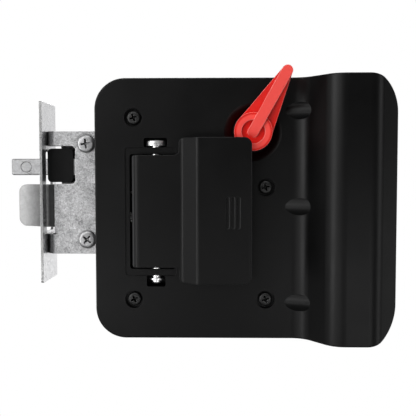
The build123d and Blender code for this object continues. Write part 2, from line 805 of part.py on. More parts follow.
tail_x0 = latch_back_x - tail_sunk
window_x1 = pin_x + arm_half_w + slide_gap
window_x0 = pin_x - arm_half_w - latch_travel - part_gap
tail_x1 = window_x1 + tail_wall
with BuildPart() as case_back:
    with BuildSketch(facing(case_back_y)):
        polygon(case_corners, case_radii)
    extrude(amount=case_back_y - inside_y0)
    with BuildSketch(facing(inside_y1)):
        polygon(
            [(x - 6 if x == tab_start_x else x, z) for x, z in case_corners], case_radii
        )
        offset(amount=-sheet_t, mode=Mode.REPLACE)
    extrude(amount=inside_y1 - inside_y0, mode=Mode.SUBTRACT)
    # end pads that back the faceplate behind the front plate's tabs
    for z0, z1 in nose_tabs:
        block((face_in_x, tab_start_x + 1), (case_mid_y + part_gap / 2, case_back_y), (z0, z1))
    # cast bosses for the two case screws, hanging from the upper and lower walls
    (top_x, _), (low_x, low_z) = case_screw_spots
    boss_w = 3.2
    block(
        (top_x - boss_w, top_x + boss_w),
        (inside_y0, inside_y1),
        (block_top_z + slide_gap, case_top_z - sheet_t),
    )
    block(
        (low_x - boss_w, low_x + boss_w),
        (inside_y0, inside_y1),
        (case_bottom_z + sheet_t, low_z + boss_w),
    )
    # lug that the latch spring pushes against, with the guide rod's hole
    block(
        (seat_x, seat_x + seat_t),
        (inside_y0 + part_gap, inside_y1),
        (arm_z - tail_w / 2, arm_z + tail_w / 2),
    )
    with Locations(Plane((seat_x, case_mid_y, arm_z), z_dir=(1, 0, 0))):
        Cylinder(
            rod_r + slide_gap,
            seat_t,
            align=(Align.CENTER, Align.CENTER, Align.MIN),
            mode=Mode.SUBTRACT,
        )
    # ledges for the ends of the detent spring
    for x in (detent_x - detent_half_l, detent_x + detent_half_l):
        block(
            (x - ledge_w / 2, x + ledge_w / 2),
            (inside_y0 + part_gap, inside_y1),
            (ledge_z - 3, ledge_z),
        )
    for x, z in screw_spots:
        disc(x, z, screw_r + screw_gap, inside_y1, case_back_y, Mode.SUBTRACT)
    for x, z in case_screw_spots:
        disc(x, z, case_screw_r, inside_y0, inside_y1, Mode.SUBTRACT)
    disc(lever_x, lever_z, hub_r + run_gap, inside_y1, case_back_y, Mode.SUBTRACT)
case_back.part.label = "case_back"

# ================================================================ case_screws, case_spacers
with BuildPart() as case_screws:
    for x, z in case_screw_spots:
        disc(x, z, case_screw_r, case_y, inside_y1)
    for (x, z), turn in zip(case_screw_spots, (20, 65)):
        disc(x, z, case_screw_head_r, case_y - case_screw_head_h, case_y)
        with BuildSketch(facing(case_y - case_screw_head_h)):
            with Locations(Location((x, z), turn)):
                Rectangle(1.1 * case_screw_head_r, 0.24 * case_screw_head_r)
                Rectangle(0.24 * case_screw_head_r, 1.1 * case_screw_head_r)
        extrude(amount=-0.7 * case_screw_head_h, mode=Mode.SUBTRACT)
case_screws.part.label = "case_screws"

with BuildPart() as case_spacers:
    for x, z in screw_spots:
        disc(x, z, spacer_r, inside_y0, inside_y1)
        disc(x, z, screw_r + screw_gap, inside_y0, inside_y1, Mode.SUBTRACT)
case_spacers.part.label = "case_spacers"

# ================================================================ latch_bolt, latch_tail
latch_y0 = case_mid_y - latch_t / 2
latch_y1 = case_mid_y + latch_t / 2
tail_y0 = case_mid_y - tail_t / 2
tail_y1 = case_mid_y + tail_t / 2
tail_z0 = arm_z - tail_w / 2
tail_z1 = arm_z + tail_w / 2
rivet_r = 1.6
rivet_x = latch_back_x - 3.5
rivet_spots = [(rivet_x, arm_z - tail_w / 4), (rivet_x, arm_z + tail_w / 4)]
slant_x = face_x - 0.8
with BuildPart() as latch_bolt:
    with BuildSketch(facing(latch_y1)):
        polygon(
            [
                (latch_back_x, latch_bottom_z),
                (latch_tip_x, latch_bottom_z),
                (latch_tip_x, latch_top_z),
                (latch_back_x, latch_top_z),
            ],
            [1, latch_tip_r, latch_tip_r, 1],
        )
    extrude(amount=latch_t)
    with BuildSketch(Plane.XY.offset(latch_bottom_z)):
        with BuildLine():
            Line((slant_x, latch_y0), (slant_x, latch_y0 - 1))
            Line((slant_x, latch_y0 - 1), (latch_tip_x - 1, latch_y0 - 1))
            Line((latch_tip_x - 1, latch_y0 - 1), (latch_tip_x - 1, latch_y1 - latch_nose_t))
            Line((latch_tip_x - 1, latch_y1 - latch_nose_t), (latch_tip_x, latch_y1 - latch_nose_t))
            RadiusArc((latch_tip_x, latch_y1 - latch_nose_t), (slant_x, latch_y0), latch_slant_r)
        make_face()
    extrude(amount=latch_top_z - latch_bottom_z, mode=Mode.SUBTRACT)
    block((tail_x0, latch_back_x), (tail_y0, tail_y1), (tail_z0, tail_z1), Mode.SUBTRACT)
    for x, z in rivet_spots:
        disc(x, z, rivet_r, latch_y0, latch_y1, Mode.SUBTRACT)
latch_bolt.part.label = "latch_bolt"

with BuildPart() as latch_tail:
    block((tail_x0, tail_x1), (tail_y0, tail_y1), (tail_z0, tail_z1))
    with BuildSketch(facing(tail_y1)):
        with Locations(((window_x0 + window_x1) / 2, arm_z)):
            RectangleRounded(window_x1 - window_x0, arm_t + 2 * slide_gap, 0.3)
    extrude(amount=tail_t, mode=Mode.SUBTRACT)
    for x, z in rivet_spots:
        disc(x, z, rivet_r, tail_y0, tail_y1, Mode.SUBTRACT)
latch_tail.part.label = "latch_tail"

with BuildPart() as tail_rivets:
    for x, z in rivet_spots:
        disc(x, z, rivet_r, latch_y0, latch_y1)
tail_rivets.part.label = "tail_rivets"

washer_t = 1.2
washer_r = 4.4
with BuildPart() as latch_rod:
    with Locations(Plane((tail_x1, case_mid_y, arm_z), z_dir=(1, 0, 0))):
        Cylinder(washer_r, washer_t, align=(Align.CENTER, Align.CENTER, Align.MIN))
        Cylinder(rod_r, rod_end_x - tail_x1, align=(Align.CENTER, Align.CENTER, Align.MIN))
latch_rod.part.label = "latch_rod"

latch_wire_r = 0.45
latch_coil_r = 3.2
latch_turns = 6
latch_coil_l = seat_x - tail_x1 - washer_t - 2 * latch_wire_r
latch_coil = coil(latch_coil_l / latch_turns, latch_turns, latch_coil_r, latch_wire_r)
with BuildPart() as latch_spring:
    with Locations(
        Plane((tail_x1 + washer_t + latch_wire_r, case_mid_y, arm_z), z_dir=(1, 0, 0))
    ):
        add(latch_coil)
latch_spring.part.label = "latch_spring"

# ================================================================ deadbolt and its carrier
bolt_y1 = bolt_y + bolt_t
link_rivet_x = bolt_back_x - 3.8
link_rivet_r = 1.8
with BuildPart() as deadbolt:
    with BuildSketch(facing(bolt_y1)):
        polygon(
            [
                (bolt_tip_x, bolt_bottom_z),
                (bolt_back_x, bolt_bottom_z),
                (bolt_back_x, bolt_top_z),
                (bolt_tip_x, bolt_top_z),
            ],
            [0.9, 0, 0, 0.9],
        )
    extrude(amount=bolt_t)
    chamfer(deadbolt.faces().sort_by(Axis.X)[0].edges(), 0.4)
    disc(stake_x, bolt_mid_z, stake_r, bolt_y, bolt_y1, Mode.SUBTRACT)
    disc(link_rivet_x, bolt_mid_z, link_rivet_r, bolt_y, bolt_y1, Mode.SUBTRACT)
deadbolt.part.label = "deadbolt"

with BuildPart() as deadbolt_stake:
    disc(stake_x, bolt_mid_z, stake_r, bolt_y, bolt_y1)
    chamfer(deadbolt_stake.edges().filter_by(GeomType.CIRCLE), 0.35)
deadbolt_stake.part.label = "deadbolt_stake"

with BuildPart() as deadbolt_block:
    with BuildSketch(facing(block_y1)):
        with Locations(((block_x0 + block_x1) / 2, (block_bottom_z + block_top_z) / 2)):
            RectangleRounded(block_x1 - block_x0, block_top_z - block_bottom_z, 2.0)
    extrude(amount=block_y1 - block_y0)
    block(
        (block_x0, block_x1),
        (bolt_y - run_gap, bolt_y1 + run_gap),
        (bolt_bottom_z - run_gap, bolt_top_z + run_gap),
        Mode.SUBTRACT,
    )
    block(
        (link_x0, block_x1),
        (link_y0 - run_gap, bolt_y),
        (bolt_bottom_z - run_gap, bolt_top_z + run_gap),
        Mode.SUBTRACT,
    )
deadbolt_block.part.label = "deadbolt_block"

# ================================================================ deadbolt_link, link_rivet
yoke_x0 = cam_pin_x - yoke_w / 2
yoke_x1 = cam_pin_x + yoke_w / 2
slot_z0 = lever_z - crank_r - crank_pin_r - part_gap
slot_w = 2 * (crank_pin_r + slide_gap)
yoke_slot_h = yoke_top_z - slot_z0 + slot_w
detent_notch = 1.8
with BuildPart() as deadbolt_link:
    with BuildSketch(facing(bolt_y)):
        polygon(
            [
                (link_x0, bolt_bottom_z),
                (yoke_x1, bolt_bottom_z),
                (yoke_x1, yoke_top_z),
                (yoke_x0, yoke_top_z),
                (yoke_x0, bolt_top_z),
                (link_x0, bolt_top_z),
            ],
            [0.8, 1.5, 1.2, 1.2, 2, 0.8],
        )
        # the fork's slot, open at the top
        with Locations((cam_pin_x, slot_z0 + yoke_slot_h / 2)):
            SlotOverall(yoke_slot_h, slot_w, rotation=90, mode=Mode.SUBTRACT)
        # one notch for each resting place of the detent
        for x in (detent_x, detent_x - bolt_travel):
            with Locations((x, bolt_bottom_z)):
                Polygon(
                    (-2 * detent_notch, -0.1),
                    (0, detent_notch),
                    (2 * detent_notch, -0.1),
                    align=None,
                    mode=Mode.SUBTRACT,
                )
    extrude(amount=link_t)
    disc(link_rivet_x, bolt_mid_z, link_rivet_r, link_y0, bolt_y, Mode.SUBTRACT)
deadbolt_link.part.label = "deadbolt_link"

with BuildPart() as link_rivet:
    disc(link_rivet_x, bolt_mid_z, link_rivet_r, link_y0, bolt_y1)
link_rivet.part.label = "link_rivet"

# ================================================================ detent_spring
crown_z = bolt_bottom_z + detent_notch - 0.6
with BuildPart() as detent_spring:
    with BuildSketch(facing(bolt_y)):
        with BuildLine() as strip:
            FilletPolyline(
                (detent_x - detent_half_l - ledge_w / 2, ledge_z + detent_t / 2),
                (detent_x - 4, ledge_z + detent_t / 2 + 0.3),
                (detent_x, crown_z),
                (detent_x + 4, ledge_z + detent_t / 2 + 0.3),
                (detent_x + detent_half_l + ledge_w / 2, ledge_z + detent_t / 2),
                radius=[2, 0.8, 2],
            )
        trace(strip.edges(), detent_t)
    extrude(amount=link_t)
detent_spring.part.label = "detent_spring"

os.makedirs("parts", exist_ok=True)
for piece in (
    interior_trim,
    mounting_screws,
    paddle,
    paddle_arm,
    paddle_pin,
    paddle_pin_clip,
    paddle_springs,
    lock_lever,
    lever_clip,
    lever_spindle,
    lock_cam,
    cam_pin,
    faceplate,
    case_front,
    case_back,
    case_screws,
    case_spacers,
    latch_bolt,
    latch_tail,
    tail_rivets,
    latch_rod,
    latch_spring,
    deadbolt,
    deadbolt_stake,
    deadbolt_block,
    deadbolt_link,
    link_rivet,
    detent_spring,
):
    export_step(piece.part, f"parts/{piece.part.label}.step")
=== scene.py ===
import json
import math

import bmesh
import bpy
from mathutils import Matrix, Vector

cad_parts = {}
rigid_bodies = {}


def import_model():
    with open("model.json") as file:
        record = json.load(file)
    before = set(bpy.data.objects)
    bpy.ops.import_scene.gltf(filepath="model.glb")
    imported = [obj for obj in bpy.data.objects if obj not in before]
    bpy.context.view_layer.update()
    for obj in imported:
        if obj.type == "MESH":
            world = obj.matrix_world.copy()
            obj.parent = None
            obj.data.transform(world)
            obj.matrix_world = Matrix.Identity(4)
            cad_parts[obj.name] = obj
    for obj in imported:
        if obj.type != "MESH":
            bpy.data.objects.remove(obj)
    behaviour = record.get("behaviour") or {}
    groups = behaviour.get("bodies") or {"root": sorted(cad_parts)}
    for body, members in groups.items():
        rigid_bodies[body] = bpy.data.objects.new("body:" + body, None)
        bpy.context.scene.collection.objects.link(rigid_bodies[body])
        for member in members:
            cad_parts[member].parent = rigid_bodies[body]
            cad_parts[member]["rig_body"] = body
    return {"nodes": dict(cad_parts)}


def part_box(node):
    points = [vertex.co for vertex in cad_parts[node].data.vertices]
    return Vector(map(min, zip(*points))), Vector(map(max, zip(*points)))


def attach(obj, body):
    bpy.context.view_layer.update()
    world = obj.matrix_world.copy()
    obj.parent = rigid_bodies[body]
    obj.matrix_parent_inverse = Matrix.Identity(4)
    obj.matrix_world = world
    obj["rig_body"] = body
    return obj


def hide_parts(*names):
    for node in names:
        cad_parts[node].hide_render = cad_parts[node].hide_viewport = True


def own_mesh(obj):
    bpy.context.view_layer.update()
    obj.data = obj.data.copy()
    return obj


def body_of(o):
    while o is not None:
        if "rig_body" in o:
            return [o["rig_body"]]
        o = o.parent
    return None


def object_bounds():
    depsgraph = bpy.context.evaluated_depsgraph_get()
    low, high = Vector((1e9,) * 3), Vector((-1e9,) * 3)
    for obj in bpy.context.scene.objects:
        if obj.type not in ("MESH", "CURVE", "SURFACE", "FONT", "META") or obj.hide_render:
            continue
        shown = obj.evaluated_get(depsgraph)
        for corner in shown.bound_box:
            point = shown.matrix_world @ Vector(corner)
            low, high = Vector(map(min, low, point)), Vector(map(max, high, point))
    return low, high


# The paddle latch's looks: a material for each CAD node, screws and springs with real threads
# and round wire, and the photo's camera and light.  Metres, with sizes of pieces and of
# textures in millimetres.

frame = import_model()
cad_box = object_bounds()
nodes = frame["nodes"]

MM = 0.001
BLACK = (0.0, 0.0, 0.0)


# ================================================================ node helpers
def new_material(name):
    """A fresh node material with only its output and shader, and the two of them."""
    material = bpy.data.materials.new(name)
    material.use_nodes = True
    tree = material.node_tree
    tree.nodes.clear()
    output = tree.nodes.new("ShaderNodeOutputMaterial")
    shader = tree.nodes.new("ShaderNodeBsdfPrincipled")
    tree.links.new(shader.outputs["BSDF"], output.inputs["Surface"])
    return material, tree, shader


def link(tree, source, target):
    tree.links.new(source, target)


def coordinates(tree, stretch=(1, 1, 1), turn=(0, 0, 0)):
    """The piece's own coordinates in millimetres, turned and then stretched."""
    place = tree.nodes.new("ShaderNodeTexCoord")
    mapping = tree.nodes.new("ShaderNodeMapping")
    mapping.inputs["Rotation"].default_value = turn
    mapping.inputs["Scale"].default_value = [s / MM for s in stretch]
    link(tree, place.outputs["Object"], mapping.inputs["Vector"])
    return mapping.outputs["Vector"]


def noise(tree, place, scale, detail=3.0, rough=0.5):
    """Noise from 0 to 1; scale is in features per millimetre."""
    node = tree.nodes.new("ShaderNodeTexNoise")
    node.inputs["Scale"].default_value = scale
    node.inputs["Detail"].default_value = detail
    node.inputs["Roughness"].default_value = rough
    link(tree, place, node.inputs["Vector"])
    return node.outputs["Fac"]


def remap(tree, value, low, high, to_low, to_high, smooth=False):
    """A value mapped from low..high to to_low..to_high, clamped."""
    node = tree.nodes.new("ShaderNodeMapRange")
    if smooth:
        node.interpolation_type = "SMOOTHSTEP"
    node.inputs["From Min"].default_value = low
    node.inputs["From Max"].default_value = high
    node.inputs["To Min"].default_value = to_low
    node.inputs["To Max"].default_value = to_high
    link(tree, value, node.inputs["Value"])
    return node.outputs["Result"]


def math_node(tree, operation, a, b=None):
    """A math node whose inputs are sockets or plain numbers."""
    node = tree.nodes.new("ShaderNodeMath")
    node.operation = operation
    for socket, value in zip(node.inputs, (a, b)):
        if value is None:
            continue
        if isinstance(value, (int, float)):
            socket.default_value = value
        else:
            link(tree, value, socket)
    return node.outputs[0]


def mix_colour(tree, factor, a, b):
    """Two colours, sockets or triples, mixed by factor."""
    node = tree.nodes.new("ShaderNodeMix")
    node.data_type = "RGBA"
    for socket, value in ((node.inputs[0], factor), (node.inputs[6], a), (node.inputs[7], b)):
        if isinstance(value, (int, float)):
            socket.default_value = value
        elif isinstance(value, (tuple, list)):
            socket.default_value = (*value, 1.0)
        else:
            link(tree, value, socket)
    return node.outputs[2]


def parts(tree, vector):
    """The X, Y and Z sockets of a vector."""
    node = tree.nodes.new("ShaderNodeSeparateXYZ")
    link(tree, vector, node.inputs["Vector"])
    return node.outputs["X"], node.outputs["Y"], node.outputs["Z"]


def towards_door(tree):
    """How far the skin faces into the door: -1 is square to the user."""
    geometry = tree.nodes.new("ShaderNodeNewGeometry")
    return parts(tree, geometry.outputs["Normal"])[1]


def bump(tree, height, depth, normal):
    """A bump of the given depth in millimetres over another normal."""
    node = tree.nodes.new("ShaderNodeBump")
    node.inputs["Strength"].default_value = 1.0
    node.inputs["Distance"].default_value = depth * MM
    link(tree, height, node.inputs["Height"])
    link(tree, normal, node.inputs["Normal"])
    return node.outputs["Normal"]


def soft_edges(tree, radius):
    """The normal with every sharp edge rounded to the given radius in millimetres."""
    bevel = tree.nodes.new("ShaderNodeBevel")
    bevel.samples = 6
    bevel.inputs["Radius"].default_value = radius * MM
    return bevel.outputs["Normal"]


def edge_mask(tree, radius, full=0.80, none=0.995):
    """1 on edges that a round of the given radius in millimetres would touch, else 0.

    full and none are the cosines between the rounded and the flat normal at 1 and at 0.
    """
    rounded = soft_edges(tree, radius)
    geometry = tree.nodes.new("ShaderNodeNewGeometry")
    dot = tree.nodes.new("ShaderNodeVectorMath")
    dot.operation = "DOT_PRODUCT"
    link(tree, rounded, dot.inputs[0])
    link(tree, geometry.outputs["Normal"], dot.inputs[1])
    return remap(tree, dot.outputs["Value"], full, none, 1.0, 0.0)


def crevice(tree, reach, floor_tone):
    """Painted shade: 1 on open skin and floor_tone deep in recesses narrower than reach, in
    millimetres.
    """
    shade = tree.nodes.new("ShaderNodeAmbientOcclusion")
    shade.samples = 8
    shade.inputs["Distance"].default_value = reach * MM
    return remap(tree, shade.outputs["AO"], 0.35, 0.9, floor_tone, 1.0)


# ================================================================ materials
def black_plastic(
    name, colour=0.0015, rough=0.37, level=0.20, edge=0.22, wear_and_sheen=9.0, round_highlight=0.0
):
    """Moulded black plastic with a fine eroded grain, cloudy gloss, and edges painted paler, partly
    as rubbed wear and partly as a painted highlight.

    level is its specular level, edge the radius of its soft edges in millimetres, wear_and_sheen
    how many times paler its edges are painted, and round_highlight how far its moulded rounds are
    painted paler as a highlight.
    """
    material, tree, shader = new_material(name)
    place = coordinates(tree)
    clouds = noise(tree, place, 0.05, 3.0)
    fine = noise(tree, place, 3.6, 2.0, 0.6)
    specks = noise(tree, place, 9.0, 1.0)
    tone = remap(tree, clouds, 0.3, 0.7, 0.0, 1.0)
    base = mix_colour(
        tree,
        tone,
        (colour * 0.86, colour * 0.86, colour * 0.9),
        (colour * 1.15, colour * 1.15, colour * 1.2),
    )
    # edges painted paler: partly rubbed wear, partly a painted highlight
    rubbed = math_node(
        tree, "MULTIPLY", edge_mask(tree, 0.4, 0.74, 0.94), remap(tree, fine, 0.35, 0.6, 0.3, 1.0)
    )
    if round_highlight:
        # painted highlight: the rounds between the front and the sides are painted paler
        facing = towards_door(tree)
        turned = math_node(
            tree,
            "MULTIPLY",
            remap(tree, facing, -0.80, -0.62, 0.0, round_highlight, smooth=True),
            remap(tree, facing, -0.40, -0.15, 1.0, 0.0, smooth=True),
        )
        rubbed = math_node(tree, "MAXIMUM", rubbed, turned)
    lighter = (colour * wear_and_sheen, colour * wear_and_sheen, colour * wear_and_sheen * 1.03)
    link(tree, mix_colour(tree, rubbed, base, lighter), shader.inputs["Base Color"])
    gloss = math_node(
        tree,
        "ADD",
        remap(tree, clouds, 0.3, 0.7, rough - 0.035, rough + 0.035),
        remap(tree, specks, 0.3, 0.7, -0.03, 0.03),
    )
    link(tree, gloss, shader.inputs["Roughness"])
    shader.inputs["Specular IOR Level"].default_value = level
    link(tree, bump(tree, fine, 0.012, soft_edges(tree, edge)), shader.inputs["Normal"])
    return material


def lever_plastic(name, axis, tilt):
    """Red moulded plastic, with a painted highlight: paler where the raised rib and the hub's ring
    face the user.

    axis is where the lever turns, and tilt its lean from upright.
    """
    rib_half = 2.36 * MM
    rib_start = -2.0 * MM
    ring_inner, ring_outer = 5.35 * MM, 7.6 * MM
    crisp, faded = 0.06 * MM, 0.4 * MM
    material, tree, shader = new_material(name)
    place = coordinates(tree)
    fine = noise(tree, place, 3.0, 2.0, 0.6)
    clouds = noise(tree, place, 0.12, 3.0)
    red = mix_colour(
        tree, remap(tree, clouds, 0.3, 0.7, 0.0, 1.0), (0.68, 0.005, 0.002), (0.80, 0.010, 0.003)
    )
    highlight_pink = (1.0, 0.095, 0.078)
    # the rib and the ring are found from the lever's own axis and tilt
    across = tree.nodes.new("ShaderNodeMapping")
    across.vector_type = "TEXTURE"
    across.inputs["Location"].default_value = axis
    across.inputs["Rotation"].default_value = (0, tilt, 0)
    place_m = tree.nodes.new("ShaderNodeTexCoord")
    link(tree, place_m.outputs["Object"], across.inputs["Vector"])
    sideways, _, along = parts(tree, across.outputs["Vector"])
    side = math_node(tree, "ABSOLUTE", sideways)
    rib = math_node(
        tree,
        "MULTIPLY",
        remap(tree, side, rib_half - crisp, rib_half + crisp, 1.0, 0.0),
        remap(tree, along, rib_start - faded, rib_start + faded, 0.0, 1.0),
    )
    radius = math_node(
        tree,
        "SQRT",
        math_node(
            tree,
            "ADD",
            math_node(tree, "MULTIPLY", side, side),
            math_node(tree, "MULTIPLY", along, along),
        ),
    )
    ring = math_node(
        tree,
        "MULTIPLY",
        remap(tree, radius, ring_inner - 0.15 * MM, ring_inner + 0.15 * MM, 0.0, 1.0),
        remap(tree, radius, ring_outer - faded, ring_outer + faded, 1.0, 0.0),
    )
    # painted highlight: the rib's and the ring's faces that look towards the user are painted pale
    front = remap(tree, towards_door(tree), -0.75, -0.2, 1.0, 0.0)
    lighter = math_node(tree, "MULTIPLY", math_node(tree, "MAXIMUM", rib, ring), front)
    # painted highlight: a pink line along the edges
    edges = math_node(tree, "MULTIPLY", edge_mask(tree, 0.5), 0.8)
    tint = mix_colour(tree, math_node(tree, "MULTIPLY", lighter, 0.85), red, highlight_pink)
    link(tree, mix_colour(tree, edges, tint, (1.0, 0.33, 0.30)), shader.inputs["Base Color"])
    link(tree, remap(tree, fine, 0.3, 0.7, 0.30, 0.40), shader.inputs["Roughness"])
    shader.inputs["Specular IOR Level"].default_value = 0.28
    link(tree, bump(tree, fine, 0.006, soft_edges(tree, 0.22)), shader.inputs["Normal"])
    return material


def zinc(
    name,
    light,
    dark,
    rough,
    spangle=0.9,
    depth=0.02,
    scratches=0.5,
    recess_shade=0.45,
    reach=1.2,
    edge=0.15,
    front_edge_tone=None,
):
    """Zinc plated or galvanised steel: crystals, dull specks and fine drag scratches.

    light and dark are the tones that it varies between, spangle its crystals per millimetre,
    depth the depth of its bumps, and recess_shade how dark the painted shade makes recesses
    narrower than reach.  edge is the radius of its soft edges, and front_edge_tone the tone of
    its faces that look towards the user: partly a sheared edge's duller finish, partly painted
    shade.
    """
    material, tree, shader = new_material(name)
    place = coordinates(tree)
    crystals = tree.nodes.new("ShaderNodeTexVoronoi")
    crystals.inputs["Scale"].default_value = spangle
    link(tree, place, crystals.inputs["Vector"])
    grey = tree.nodes.new("ShaderNodeRGBToBW")
    link(tree, crystals.outputs["Color"], grey.inputs["Color"])
    blotches = noise(tree, place, 0.16, 5.0, 0.6)
    specks = noise(tree, place, 1.7, 3.0, 0.75)
    drag = noise(tree, coordinates(tree, (0.25, 4.0, 4.0), (0, math.radians(34), 0)), 1.1, 3.0, 0.6)
    drag2 = noise(tree, coordinates(tree, (5.0, 5.0, 0.2), (0, math.radians(-8), 0)), 0.8, 2.0, 0.5)
    scored = math_node(
        tree,
        "MAXIMUM",
        remap(tree, drag, 0.60, 0.70, 0.0, scratches),
        remap(tree, drag2, 0.64, 0.72, 0.0, scratches * 0.7),
    )
    tone = math_node(
        tree,
        "ADD",
        remap(tree, specks, 0.30, 0.70, 0.0, 0.62),
        math_node(
            tree,
            "ADD",
            remap(tree, grey.outputs["Val"], 0.15, 0.85, 0.0, 0.2),
            remap(tree, blotches, 0.32, 0.68, 0.0, 0.28),
        ),
    )
    tone = math_node(tree, "SUBTRACT", tone, math_node(tree, "MULTIPLY", scored, 0.5))
    base = mix_colour(tree, tone, (dark, dark, dark * 1.01), (light, light, light * 1.015))
    # the faces that look towards the user are painted darker: partly a sheared edge's duller
    # finish, partly painted shade
    if front_edge_tone is not None:
        cut = remap(tree, towards_door(tree), -0.8, -0.6, 1.0, 0.0)
        dull = mix_colour(tree, specks, (front_edge_tone * 0.6,) * 3, (front_edge_tone * 1.3,) * 3)
        base = mix_colour(tree, cut, base, dull)
    rubbed = math_node(tree, "MULTIPLY", edge_mask(tree, 0.25), 0.6)
    # painted shade: recesses narrower than reach are darkened towards black
    link(
        tree,
        mix_colour(
            tree,
            crevice(tree, reach, 1.0 - recess_shade),
            BLACK,
            mix_colour(tree, rubbed, base, (0.95,) * 3),
        ),
        shader.inputs["Base Color"],
    )
    shader.inputs["Metallic"].default_value = 1.0
    uneven = math_node(
        tree,
        "ADD",
        remap(tree, grey.outputs["Val"], 0.1, 0.9, rough - 0.08, rough + 0.08),
        remap(tree, specks, 0.3, 0.7, 0.06, -0.06),
    )
    link(tree, uneven, shader.inputs["Roughness"])
    height = math_node(tree, "SUBTRACT", specks, math_node(tree, "MULTIPLY", scored, 0.5))
    link(tree, bump(tree, height, depth, soft_edges(tree, edge)), shader.inputs["Normal"])
    return material


def bright_steel(name, tint, rough):
    """Turned or drawn bright steel with faint turning lines."""
    material, tree, shader = new_material(name)
    place = coordinates(tree)
    specks = noise(tree, place, 2.5, 3.0, 0.6)
    lines = noise(tree, coordinates(tree, (0.2, 0.2, 9.0)), 0.6, 2.0)
    speckled = remap(tree, specks, 0.35, 0.65, 0.0, 1.0)
    base = mix_colour(tree, speckled, (tint * 0.82,) * 3, (tint,) * 3)
    link(tree, base, shader.inputs["Base Color"])
    shader.inputs["Metallic"].default_value = 1.0
    link(tree, remap(tree, lines, 0.3, 0.7, rough - 0.05, rough + 0.08), shader.inputs["Roughness"])
    link(tree, bump(tree, lines, 0.004, soft_edges(tree, 0.12)), shader.inputs["Normal"])
    return material


def cast_metal(name, light, dark, rough=0.46, shade_from=None):
    """Tumbled die casting: soft mottling, a matt skin, brighter rubbed edges and painted shade in
    its recesses.

    shade_from is the x in millimetres past which the skin is painted dark as shade.
    """
    material, tree, shader = new_material(name)
    place = coordinates(tree)
    mottle = noise(tree, place, 0.35, 5.0, 0.6)
    specks = noise(tree, place, 2.6, 3.0, 0.7)
    tone = math_node(
        tree,
        "ADD",
        remap(tree, mottle, 0.3, 0.7, 0.0, 0.55),
        remap(tree, specks, 0.3, 0.7, 0.0, 0.45),
    )
    base = mix_colour(tree, tone, (dark,) * 3, (light,) * 3)
    rubbed = math_node(tree, "MULTIPLY", edge_mask(tree, 0.4), 0.5)
    tone = mix_colour(tree, rubbed, base, (0.7,) * 3)
    # painted shade: past this x the skin is darkened, where the case shades it
    if shade_from is not None:
        along = parts(tree, place)[0]
        inner_shade = remap(tree, along, shade_from, shade_from + 1.2, 0.0, 0.82)
        tone = mix_colour(tree, inner_shade, tone, (0.02, 0.02, 0.02))
    # painted shade: recesses narrower than 2 mm are darkened towards black
    link(
        tree,
        mix_colour(tree, crevice(tree, 2.0, 0.3), BLACK, tone),
        shader.inputs["Base Color"],
    )
    shader.inputs["Metallic"].default_value = 1.0
    uneven = remap(tree, specks, 0.3, 0.7, rough - 0.06, rough + 0.08)
    link(tree, uneven, shader.inputs["Roughness"])
    link(tree, bump(tree, specks, 0.018, soft_edges(tree, 0.3)), shader.inputs["Normal"])
    return material


def black_oxide(name):
    """Black finished screw steel, rubbed grey on its edges, with painted shade in its recesses."""
    material, tree, shader = new_material(name)
    place = coordinates(tree)
    specks = noise(tree, place, 2.2, 3.0, 0.7)
    rubbed = math_node(tree, "MULTIPLY", edge_mask(tree, 0.3), 0.8)
    base = mix_colour(tree, remap(tree, specks, 0.35, 0.7, 0.0, 1.0), (0.022,) * 3, (0.05,) * 3)
    skin_tone = mix_colour(tree, rubbed, base, (0.20,) * 3)
    # painted shade: the cross recess and narrow gaps are darkened towards black
    link(
        tree,
        mix_colour(tree, crevice(tree, 1.3, 0.04), BLACK, skin_tone),
        shader.inputs["Base Color"],
    )
    shader.inputs["Metallic"].default_value = 0.8
    link(tree, remap(tree, specks, 0.3, 0.7, 0.34, 0.5), shader.inputs["Roughness"])
    link(tree, bump(tree, specks, 0.01, soft_edges(tree, 0.18)), shader.inputs["Normal"])
    return material


# ================================================================ finishes of the CAD nodes
spindle_low, spindle_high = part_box("lever_spindle")
lever_axis = (
    (spindle_low.x + spindle_high.x) / 2,
    0.0,
    (spindle_low.z + spindle_high.z) / 2,
)
lever_tilt = math.radians(29)
# the latch is painted dark as shade from the faceplate's inner side on, where the case shades it
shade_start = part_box("faceplate")[1].x / MM - 0.1

trim_black = black_plastic("trim_black")
# painted highlight: the paddle's edges and rounds are painted much paler
paddle_black = black_plastic("paddle_black", 0.0015, 0.36, edge=0.6, wear_and_sheen=40.0, round_highlight=0.9)
block_black = black_plastic("block_black", 0.0012, 0.42, level=0.16)
lever_red = lever_plastic("lever_red", lever_axis, lever_tilt)
sheet_zinc = zinc("sheet_zinc", 0.78, 0.09, 0.40, recess_shade=0.5, reach=2.0, edge=0.4)
face_zinc = zinc("face_zinc", 0.95, 0.80, 0.34, depth=0.008, scratches=0.25, front_edge_tone=0.36)
bolt_zinc = zinc("bolt_zinc", 0.56, 0.30, 0.42, 1.2, recess_shade=0.8)
screw_zinc = zinc("screw_zinc", 0.50, 0.28, 0.38, 1.6, recess_shade=0.92)
cast_grey = cast_metal("cast_grey", 0.50, 0.36)
latch_grey = cast_metal("latch_grey", 0.37, 0.23, shade_from=shade_start)
case_grey = cast_metal("case_grey", 0.62, 0.44, 0.5)
steel = bright_steel("steel", 0.95, 0.30)
spring_wire = bright_steel("spring_wire", 0.95, 0.26)
screw_black = black_oxide("screw_black")

